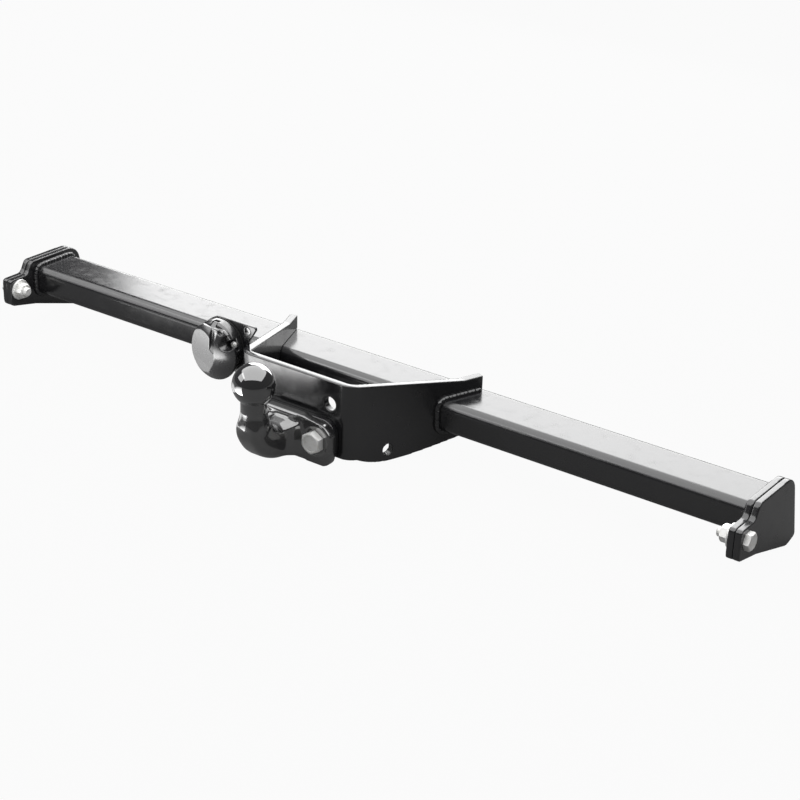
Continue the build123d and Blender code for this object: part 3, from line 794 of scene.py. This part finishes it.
def addFixings():
    made = {**makeEndFixings(), **makeBallFixings(), **makeSocketFixings()}
    for node, shapes in made.items():
        piece = addPiece(node + "_detailed", joined(shapes), node, sharpFrom["fixing"])
        if node in fineEdge["pieces"]:
            addRounding(piece)
    return len(made)


# Weld beads: a tube along each joint that swells at every pass of the torch. Sizes in millimetres
beads = {
    "radius": 3.9,
    "roundness": 4,
    "step": 0.45,
    "off": 0.9,  # how far its middle stands off each plate
    "pitch": 2.1,  # from pass to pass
    "uneven": 0.8,  # radians that a pass comes early or late by
    "ridge": 0.6,  # below 1 the ridges are broad and the grooves between them narrow
    "swell": 0.05,  # part of the radius
    "drift": (0.83, 0.31),  # radians for each millimetre of the bead
    "driftSwell": 0.05,
    "wander": 0.3,
    "wanderAlong": (0.6, -0.5, 0.6),
    "endSize": 0.45,  # part of the radius at the ends, and how much it grows for each millimetre
    "endGrowth": 0.22,
}


def bead(path, closed, phase):
    step = beads["step"]
    walk = []
    following = path[1:] + path[:1] if closed else path[1:]
    for first, second in zip(path, following):
        count = max(1, round((second - first).length / step))
        walk += [first.lerp(second, part / count) for part in range(count)]
    if not closed:
        walk.append(path[-1])
    curve = bpy.data.curves.new("bead", "CURVE")
    curve.dimensions = "3D"
    curve.bevel_depth = mm
    curve.bevel_resolution = beads["roundness"]
    curve.use_fill_caps = True
    line = curve.splines.new("POLY")
    line.points.add(len(walk) - 1)
    line.use_cyclic_u = closed
    fast, slow = beads["drift"]
    for index, (point, spot) in enumerate(zip(line.points, walk)):
        along = index * step
        drift = sin(along * fast + phase) * sin(along * slow + 2 * phase)
        ripple = abs(sin(pi * along / beads["pitch"] + beads["uneven"] * drift)) ** beads["ridge"]
        fromEnd = min(index, len(walk) - 1 - index)
        size = 1.0 if closed else min(1.0, beads["endSize"] + beads["endGrowth"] * fromEnd * step)
        shift = Vector(beads["wanderAlong"]) * drift * beads["wander"]
        swell = 1 + beads["swell"] * (ripple - 0.5) + beads["driftSwell"] * drift
        point.co = ((spot + shift) * mm).to_4d()
        point.radius = beads["radius"] * size * swell
    holder = bpy.data.objects.new("bead", curve)
    bpy.context.scene.collection.objects.link(holder)
    drawn = holder.evaluated_get(bpy.context.evaluated_depsgraph_get())
    shape = bmesh.new()
    shape.from_mesh(drawn.to_mesh())
    drawn.to_mesh_clear()
    bpy.data.objects.remove(holder)
    bpy.data.curves.remove(curve)
    bmesh.ops.remove_doubles(shape, verts=shape.verts, dist=0.0005 * mm)
    bmesh.ops.recalc_face_normals(shape, faces=shape.faces)
    return shape


# Where the beads run: round the beam's ends, round the beam on each wing, and by the socket plate
weldLines = {
    "beam": {"left": -544.0, "right": 528.0, "front": 186.0, "top": -52.0},
    "section": {"depth": 70.0, "height": 40.0, "corner": 12.0},
    "wing": {"corner": 82.5, "front": 73.0, "splay": 20.5, "end": 182.6, "meet": 120.6, "round": 11.0},
    "plate": {"x": -92.6, "y": 100.0, "low": -47.0, "high": -19.0},
    "phase": {"left": 0.4, "right": 1.7, "wing": 0.9, "plate": 2.6},  # so that no two beads are alike
    "quarterSteps": 6,
}


# Round the beam's section at one place along the beam
def beamLoop(x):
    beam = weldLines["beam"]
    section = weldLines["section"]
    steps = weldLines["quarterSteps"]
    bend = section["corner"]
    off = beads["off"]
    half = (section["depth"] / 2 + off - bend, section["height"] / 2 + off - bend)
    middle = (beam["front"] + section["depth"] / 2, beam["top"] - section["height"] / 2)
    loop = []
    for quarter, (sideY, sideZ) in enumerate(((1, 1), (-1, 1), (-1, -1), (1, -1))):
        for step in range(steps + 1):
            angle = quarter * pi / 2 + step * pi / 2 / steps
            y = middle[0] + sideY * half[0] + bend * cos(angle)
            z = middle[1] + sideZ * half[1] + bend * sin(angle)
            loop.append(Vector((x, y, z)))
    return loop


# Over the beam, down its front and back under it, as distance along the wing and height
def wingWalk():
    wing = weldLines["wing"]
    steps = weldLines["quarterSteps"]
    top = weldLines["beam"]["top"]
    height = weldLines["section"]["height"]
    off = beads["off"]
    bend = wing["round"]
    walk = [(wing["end"], top + off)]
    for step in range(2 * steps + 1):
        angle = pi / 2 + step * pi / 2 / steps
        middle = top - (bend if step <= steps else height - bend)
        reach = wing["meet"] + bend + (bend + off) * cos(angle)
        walk.append((reach, middle + (bend + off) * sin(angle)))
    return walk + [(wing["end"], top - height - off)]


def wingLine(side):
    wing = weldLines["wing"]
    splay = radians(wing["splay"])
    along = Vector((sin(splay), cos(splay), 0))
    out = Vector((along.y, -along.x, 0))
    line = []
    for reach, height in wingWalk():
        spot = Vector((wing["corner"], wing["front"], height)) + along * reach + out * beads["off"]
        line.append(Vector((side * spot.x, spot.y, spot.z)))
    return line


def plateLine():
    plate = weldLines["plate"]
    return [Vector((plate["x"], plate["y"] - beads["off"], plate[end])) for end in ("low", "high")]


def addWelds():
    beam = weldLines["beam"]
    phase = weldLines["phase"]
    left = bead(beamLoop(beam["left"] + beads["off"]), True, phase["left"])
    right = bead(beamLoop(beam["right"] - beads["off"]), True, phase["right"])
    wings = [bead(wingLine(side), False, phase["wing"] * index) for index, side in enumerate((-1, 1))]
    plate = bead(plateLine(), False, phase["plate"])
    addPiece("end_welds_rippled", joined([left, right]), "end_welds", sharpFrom["remeshed"])
    addPiece("bracket_welds_rippled", joined(wings), "bracket_welds", sharpFrom["remeshed"])
    addPiece("plate_weld_rippled", plate, "plate_weld", sharpFrom["remeshed"])


roundPieces()
print("pieces rounded:", len(rounded))
forgeTowBall()
print("tow ball forged")
fixingCount = addFixings()
print("kinds of fixing made:", fixingCount)
addWelds()
print("welds laid")

# Camera: the photograph's own viewpoint, from the fit, with the lens in millimetres
view = {
    "azimuth": 35.1878,
    "elevation": 25.4536,
    "roll": 1.832,
    "lens": 83.3427,
    "sensor": 36,
    "place": (1.221007, -1.4456395, 0.8836941),
    "clip": (0.05, 60),
}


def addCamera():
    azimuth = radians(view["azimuth"])
    elevation = radians(view["elevation"])
    right = Vector((cos(azimuth), sin(azimuth), 0))
    back = Vector((sin(azimuth) * cos(elevation), -cos(azimuth) * cos(elevation), sin(elevation)))
    right = Matrix.Rotation(radians(view["roll"]), 3, back) @ right
    up = back.cross(right)
    lens = bpy.data.cameras.new("photoCamera")
    lens.lens = view["lens"]
    lens.sensor_width = view["sensor"]
    lens.clip_start, lens.clip_end = view["clip"]
    camera = bpy.data.objects.new("photoCamera", lens)
    bpy.context.scene.collection.objects.link(camera)
    facing = Matrix((right, up, back)).transposed().to_4x4()
    camera.matrix_world = Matrix.Translation(view["place"]) @ facing
    bpy.context.scene.camera = camera


# Soft boxes in metres, each with the point that it faces. One is turned about Z, one has a narrow spread
softBoxes = {
    "backBank": {
        "middle": (-1.05, 2.1, 0.98),
        "target": (-1.05, 0.2, 0.98),
        "size": (2.4, 1.8),
        "radiance": 4.8,
    },
    "overBank": {
        "middle": (-0.1, 0.15, 1.9),
        "target": (-0.1, 0.15, 0),
        "size": (4.8, 4.0),
        "radiance": 2.45,
        "turn": 35,
    },
    "leftBank": {
        "middle": (-2.05, -1.6, 1.6),
        "target": (0, 0, 0),
        "size": (2.0, 1.5),
        "radiance": 2.45,
    },
    "lowCard": {
        "middle": (-0.32, -0.14, -0.06),
        "target": (-0.13, 0.36, 0.78),
        "size": (0.5, 0.22),
        "radiance": 4.8,
        "spread": 110,
    },
    "leftCard": {
        "middle": (-0.335, -0.02, -0.125),
        "target": (-0.335, -0.02, 1.0),
        "size": (0.28, 0.19),
        "radiance": 1.4,
    },
}


def addSoftBoxes():
    for name, box in softBoxes.items():
        wide, high = box["size"]
        lamp = bpy.data.lights.new(name, "AREA")
        lamp.shape = "RECTANGLE"
        lamp.size = wide
        lamp.size_y = high
        lamp.spread = radians(box.get("spread", 180))
        lamp.energy = box["radiance"] * pi * wide * high
        holder = bpy.data.objects.new(name, lamp)
        bpy.context.scene.collection.objects.link(holder)
        aim = Vector(box["target"]) - Vector(box["middle"])
        turn = Matrix.Rotation(radians(box.get("turn", 0)), 3, "Z").to_quaternion()
        holder.location = box["middle"]
        holder.rotation_mode = "QUATERNION"
        holder.rotation_quaternion = turn @ aim.to_track_quat("-Z", "Y")
        holder.visible_camera = False


# The camera sees the floor as white, with the object's shadow kept faint. The coats mirror it darker,
# because black gloss turns grey over a white floor
floorLook = {
    "colour": (0.12, 0.12, 0.12, 1),
    "white": (1, 1, 1, 1),
    "size": 30,
    "gap": 0.2 * mm,
    "seen": 0.95,
    "mirrored": 0.06,
}


def makeFloorPaint():
    paint = Finish("floorPaint")
    camera = paint.node("LightPath", output="Is Camera Ray")
    glossy = paint.node("LightPath", output="Is Glossy Ray")
    through = paint.node("LightPath", output="Is Transmission Ray")
    whole = floorLook["seen"]
    seen = camera * whole + glossy * floorLook["mirrored"] + through * whole
    share = paint.node("Clamp", inputs={0: seen})
    matte = paint.node("BsdfDiffuse", inputs={"Color": floorLook["colour"]})
    white = paint.node("Emission", inputs={"Color": floorLook["white"], "Strength": 1.0})
    mixed = paint.node("MixShader", inputs={0: share, 1: matte, 2: white})
    paint.node("OutputMaterial", inputs={"Surface": mixed})
    return paint.material


def addFloor():
    shape = bmesh.new()
    bmesh.ops.create_grid(shape, x_segments=8, y_segments=8, size=floorLook["size"] / 2)
    drop = Matrix.Translation((0, 0, cadBox[0].z - floorLook["gap"]))
    bmesh.ops.transform(shape, matrix=drop, verts=shape.verts)
    mesh = bpy.data.meshes.new("studioFloor")
    shape.to_mesh(mesh)
    shape.free()
    mesh.materials.append(makeFloorPaint())
    floor = bpy.data.objects.new("studioFloor", mesh)
    bpy.context.scene.collection.objects.link(floor)


room = {"colour": (0.1, 0.1, 0.1, 1), "strength": 1.0}


def addWorld():
    world = bpy.data.worlds.new("studio")
    world.use_nodes = True
    background = world.node_tree.nodes["Background"]
    background.inputs["Color"].default_value = room["colour"]
    background.inputs["Strength"].default_value = room["strength"]
    bpy.context.scene.world = world


addCamera()
addSoftBoxes()
addFloor()
addWorld()
bpy.context.scene.view_settings.view_transform = "Standard"
print("studio ready")
